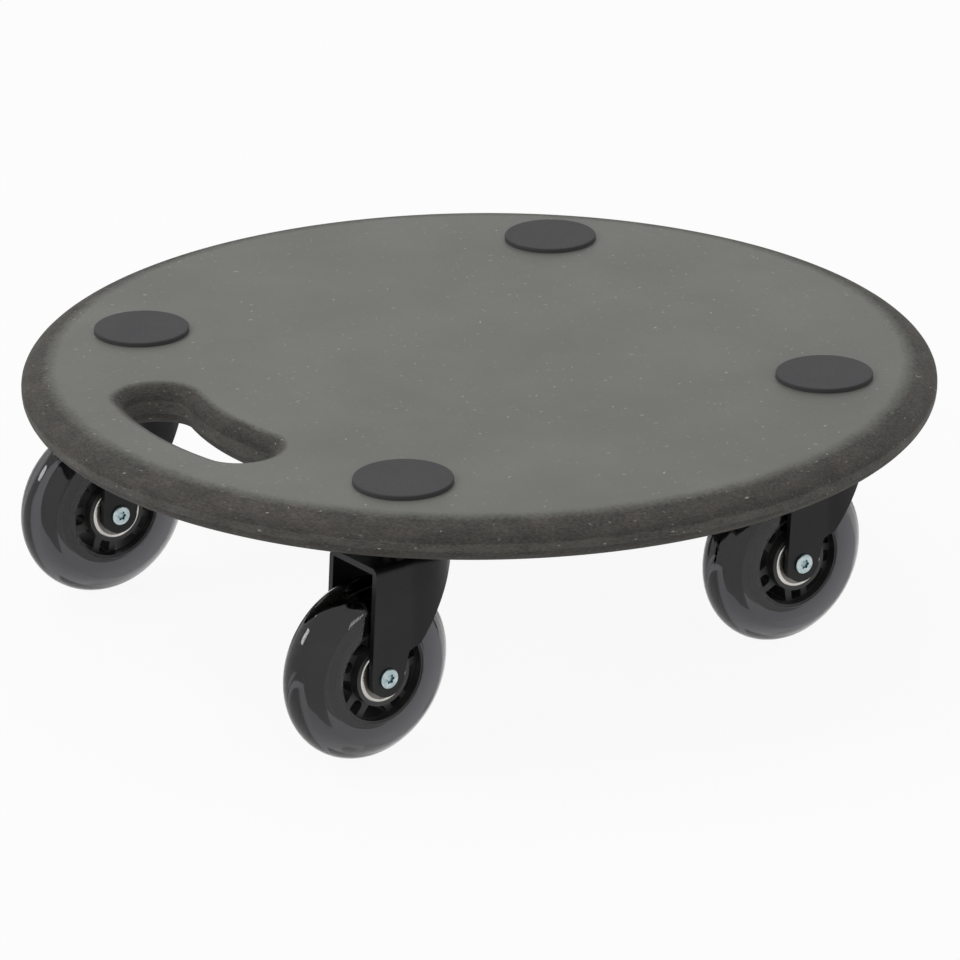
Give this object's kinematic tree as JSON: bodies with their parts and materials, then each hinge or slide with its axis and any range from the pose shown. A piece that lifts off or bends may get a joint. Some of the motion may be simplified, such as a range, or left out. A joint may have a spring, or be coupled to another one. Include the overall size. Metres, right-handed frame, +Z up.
{
  "type": "plant caddy",
  "caption": "Round board with a bent hand slot and grip pads on swivel casters with inline wheels, for rolling a heavy plant pot.",
  "frame": {"origin": "on the floor under the centre of the board", "axes": "+Z up; the hand slot is towards -Y, called the front; the wheel axles lie along X, apart from the front right one, whose fork stands turned by 4.5 degrees"},
  "size_m": [0.3799, 0.38, 0.113],
  "materials": {
    "board": "satin dyed fibreboard, dark grey",
    "pad": "matt",
    "black_steel": "satin black powder coat",
    "zinc": "zinc plated",
    "blue_zinc": "blue zinc plated",
    "bearing_steel": "ground and polished",
    "seal": "pressed steel shield",
    "tyre": "glossy smoky polyurethane",
    "core": "moulded nylon"
  },
  "bodies": {
    "board": {"board": "board", "mounting_screws": "zinc", "front_left_pad": "pad", "front_left_top_plate": "black_steel", "front_left_kingpin": "zinc", "front_right_pad": "pad", "front_right_top_plate": "black_steel", "front_right_kingpin": "zinc", "back_right_pad": "pad", "back_right_top_plate": "black_steel", "back_right_kingpin": "zinc", "back_left_pad": "pad", "back_left_top_plate": "black_steel", "back_left_kingpin": "zinc"},
    "front_left_fork": {"front_left_fork": "black_steel", "front_left_swivel_balls": "bearing_steel", "front_left_axle_sleeve": "zinc", "front_left_axle_spacers": "zinc", "front_left_axle_screws": "blue_zinc", "front_left_bearing_inner_rings": "bearing_steel"},
    "front_left_wheel": {"front_left_tyre": "tyre", "front_left_wheel_core": "core", "front_left_bearing_outer_rings": "bearing_steel", "front_left_bearing_balls": "bearing_steel", "front_left_bearing_seals": "seal"},
    "front_right_fork": {"front_right_fork": "black_steel", "front_right_swivel_balls": "bearing_steel", "front_right_axle_sleeve": "zinc", "front_right_axle_spacers": "zinc", "front_right_axle_screws": "blue_zinc", "front_right_bearing_inner_rings": "bearing_steel"},
    "front_right_wheel": {"front_right_tyre": "tyre", "front_right_wheel_core": "core", "front_right_bearing_outer_rings": "bearing_steel", "front_right_bearing_balls": "bearing_steel", "front_right_bearing_seals": "seal"},
    "back_right_fork": {"back_right_fork": "black_steel", "back_right_swivel_balls": "bearing_steel", "back_right_axle_sleeve": "zinc", "back_right_axle_spacers": "zinc", "back_right_axle_screws": "blue_zinc", "back_right_bearing_inner_rings": "bearing_steel"},
    "back_right_wheel": {"back_right_tyre": "tyre", "back_right_wheel_core": "core", "back_right_bearing_outer_rings": "bearing_steel", "back_right_bearing_balls": "bearing_steel", "back_right_bearing_seals": "seal"},
    "back_left_fork": {"back_left_fork": "black_steel", "back_left_swivel_balls": "bearing_steel", "back_left_axle_sleeve": "zinc", "back_left_axle_spacers": "zinc", "back_left_axle_screws": "blue_zinc", "back_left_bearing_inner_rings": "bearing_steel"},
    "back_left_wheel": {"back_left_tyre": "tyre", "back_left_wheel_core": "core", "back_left_bearing_outer_rings": "bearing_steel", "back_left_bearing_balls": "bearing_steel", "back_left_bearing_seals": "seal"}
  },
  "joints": [
    {"name": "front_left_swivel", "type": "hinge", "parent": "board", "child": "front_left_fork", "pos_m": [-0.10253, -0.10253, 0.085], "axis": [0, 0, 1], "continuous": true},
    {"name": "front_left_wheel_spin", "type": "hinge", "parent": "front_left_fork", "child": "front_left_wheel", "pos_m": [-0.10253, -0.12383, 0.038], "axis": [1, 0, 0], "continuous": true},
    {"name": "front_right_swivel", "type": "hinge", "parent": "board", "child": "front_right_fork", "pos_m": [0.10253, -0.10253, 0.085], "axis": [0, 0, 1], "continuous": true},
    {"name": "front_right_wheel_spin", "type": "hinge", "parent": "front_right_fork", "child": "front_right_wheel", "pos_m": [0.1042, -0.12377, 0.038], "axis": [0.9969, 0.0785, 0], "continuous": true},
    {"name": "back_right_swivel", "type": "hinge", "parent": "board", "child": "back_right_fork", "pos_m": [0.10253, 0.10253, 0.085], "axis": [0, 0, 1], "continuous": true},
    {"name": "back_right_wheel_spin", "type": "hinge", "parent": "back_right_fork", "child": "back_right_wheel", "pos_m": [0.10253, 0.08123, 0.038], "axis": [1, 0, 0], "continuous": true},
    {"name": "back_left_swivel", "type": "hinge", "parent": "board", "child": "back_left_fork", "pos_m": [-0.10253, 0.10253, 0.085], "axis": [0, 0, 1], "continuous": true},
    {"name": "back_left_wheel_spin", "type": "hinge", "parent": "back_left_fork", "child": "back_left_wheel", "pos_m": [-0.10253, 0.08123, 0.038], "axis": [1, 0, 0], "continuous": true}
  ]
}
